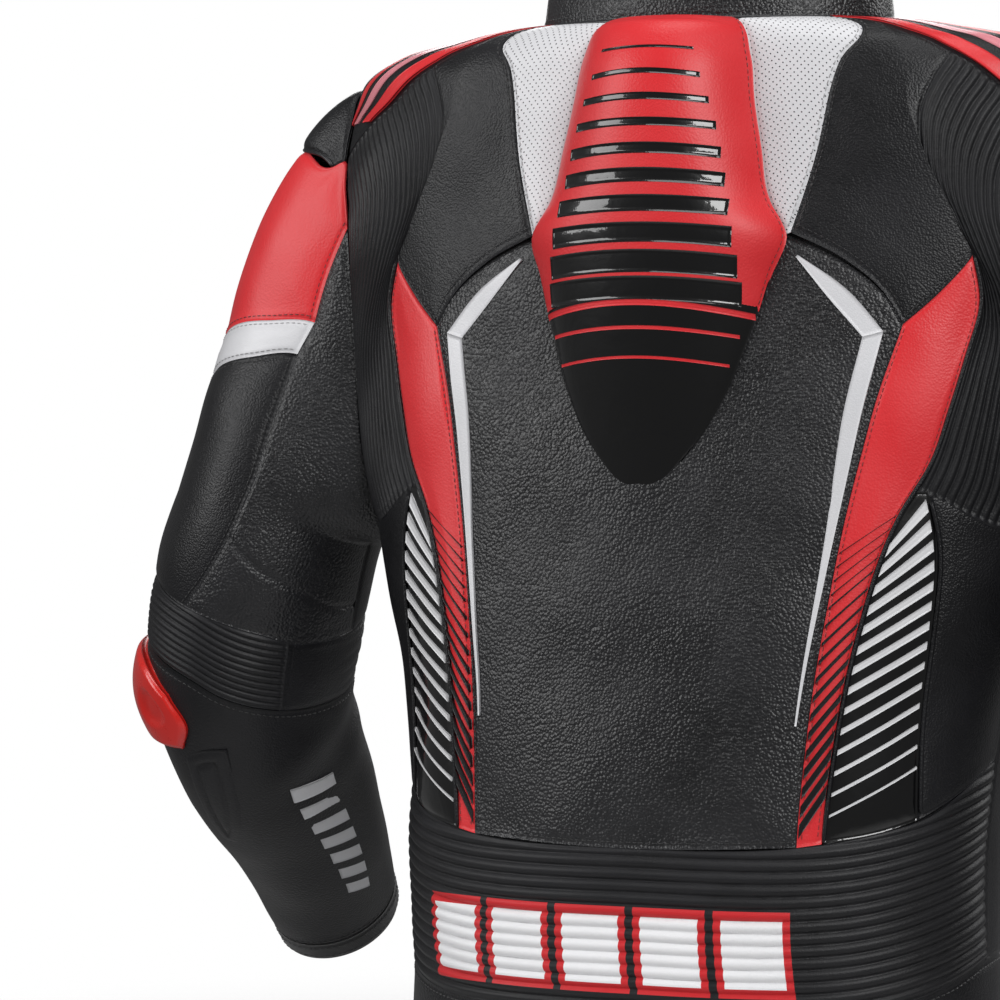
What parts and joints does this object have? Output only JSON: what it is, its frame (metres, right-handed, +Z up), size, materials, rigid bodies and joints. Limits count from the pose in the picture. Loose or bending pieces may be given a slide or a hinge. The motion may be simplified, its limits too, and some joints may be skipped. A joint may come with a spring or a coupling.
{
  "type": "leather riding jacket",
  "caption": "Leather racing jacket with speed hump, bending elbows, stretch panels, elbow sliders and a sliding front zip.",
  "frame": {"origin": "middle of the collar seam at the back of the neck, where the hanger loop is sewn", "axes": "+Z up, the wearer faces -Y, the wearer's left is +X"},
  "size_m": [0.7756, 0.3319, 0.6442],
  "materials": {
    "red_leather": "semi-gloss grained leather",
    "hump_foam": "moulded foam",
    "black_leather": "pebble-grained cowhide",
    "white_leather": "smooth leather",
    "patent_leather": "patent gloss",
    "stretch_leather": "ribbed accordion leather",
    "perforated_leather": "perforated leather",
    "lining": "mesh",
    "armour_black": "padded leather",
    "slider_red": "moulded polyurethane",
    "neoprene": "neoprene",
    "webbing": "woven polyester",
    "zip_metal": "dark nickel"
  },
  "bodies": {
    "jacket": {"arm_band_left": "white_leather", "arm_band_right": "white_leather", "back_panel": "black_leather", "body_lining": "lining", "chest_left": "black_leather", "chest_right": "black_leather", "chevron_left": "white_leather", "chevron_right": "white_leather", "collar": "black_leather", "elbow_gusset_left": "stretch_leather", "elbow_gusset_right": "stretch_leather", "elbow_stretch_left": "stretch_leather", "elbow_stretch_right": "stretch_leather", "flank_left": "black_leather", "flank_right": "black_leather", "front_arm_left": "black_leather", "front_arm_right": "black_leather", "front_panel_left": "black_leather", "front_panel_right": "black_leather", "hanger_loop": "webbing", "hem_band": "black_leather", "hump_cover": "red_leather", "hump_foam": "hump_foam", "neck_panel_left": "white_leather", "neck_panel_right": "white_leather", "outer_arm_left": "black_leather", "outer_arm_right": "black_leather", "shoulder_blade_left": "black_leather", "shoulder_blade_right": "black_leather", "shoulder_cup_left": "armour_black", "shoulder_cup_right": "armour_black", "shoulder_stretch_left": "stretch_leather", "shoulder_stretch_right": "stretch_leather", "shoulder_yoke_left": "black_leather", "shoulder_yoke_right": "black_leather", "side_flash_left": "red_leather", "side_flash_right": "red_leather", "side_slash_left": "patent_leather", "side_slash_right": "patent_leather", "underarm_left": "perforated_leather", "underarm_right": "perforated_leather", "upper_arm_red_left": "red_leather", "upper_arm_red_right": "red_leather", "waist_stretch": "stretch_leather", "zip_tapes": "webbing"},
    "left_forearm": {"forearm_left": "black_leather", "forearm_pad_left": "black_leather", "elbow_slider_left": "slider_red", "cuff_left": "neoprene", "cuff_zip_left": "webbing"},
    "right_forearm": {"forearm_right": "black_leather", "forearm_pad_right": "black_leather", "elbow_slider_right": "slider_red", "cuff_right": "neoprene", "cuff_zip_right": "webbing"},
    "zip_slider": {"zip_slider": "zip_metal"},
    "zip_puller": {"zip_puller": "zip_metal"},
    "collar_tab": {"collar_tab": "neoprene"},
    "left_cuff_slider": {"cuff_slider_left": "zip_metal"},
    "right_cuff_slider": {"cuff_slider_right": "zip_metal"}
  },
  "joints": [
    {"name": "left_elbow", "type": "hinge", "parent": "jacket", "child": "left_forearm", "pos_m": [0.313, -0.07, -0.368], "axis": [-0.9609, 0.1181, -0.2503], "range_deg": [-30, 22], "deforming": ["elbow_stretch_left", "elbow_gusset_left"]},
    {"name": "right_elbow", "type": "hinge", "parent": "jacket", "child": "right_forearm", "pos_m": [-0.313, -0.07, -0.368], "axis": [-0.9609, -0.1181, 0.2503], "range_deg": [-30, 22], "deforming": ["elbow_stretch_right", "elbow_gusset_right"]},
    {"name": "front_zip", "type": "slide", "parent": "jacket", "child": "zip_slider", "axis": [0, 0.0863, -0.9963], "range_m": [0, 0.45]},
    {"name": "zip_pull", "type": "hinge", "parent": "zip_slider", "child": "zip_puller", "pos_m": [0, -0.2139, -0.1266], "axis": [-1, 0, 0], "range_deg": [0, 100]},
    {"name": "collar_tab", "type": "hinge", "parent": "jacket", "child": "collar_tab", "pos_m": [-0.023, -0.14964, -0.048], "axis": [0, 0, -1], "range_deg": [0, 120]},
    {"name": "left_cuff_zip", "type": "slide", "parent": "left_forearm", "child": "left_cuff_slider", "axis": [-0.1234, 0.6267, 0.7694], "range_m": [0, 0.05]},
    {"name": "right_cuff_zip", "type": "slide", "parent": "right_forearm", "child": "right_cuff_slider", "axis": [0.1234, 0.6267, 0.7694], "range_m": [0, 0.05]}
  ]
}
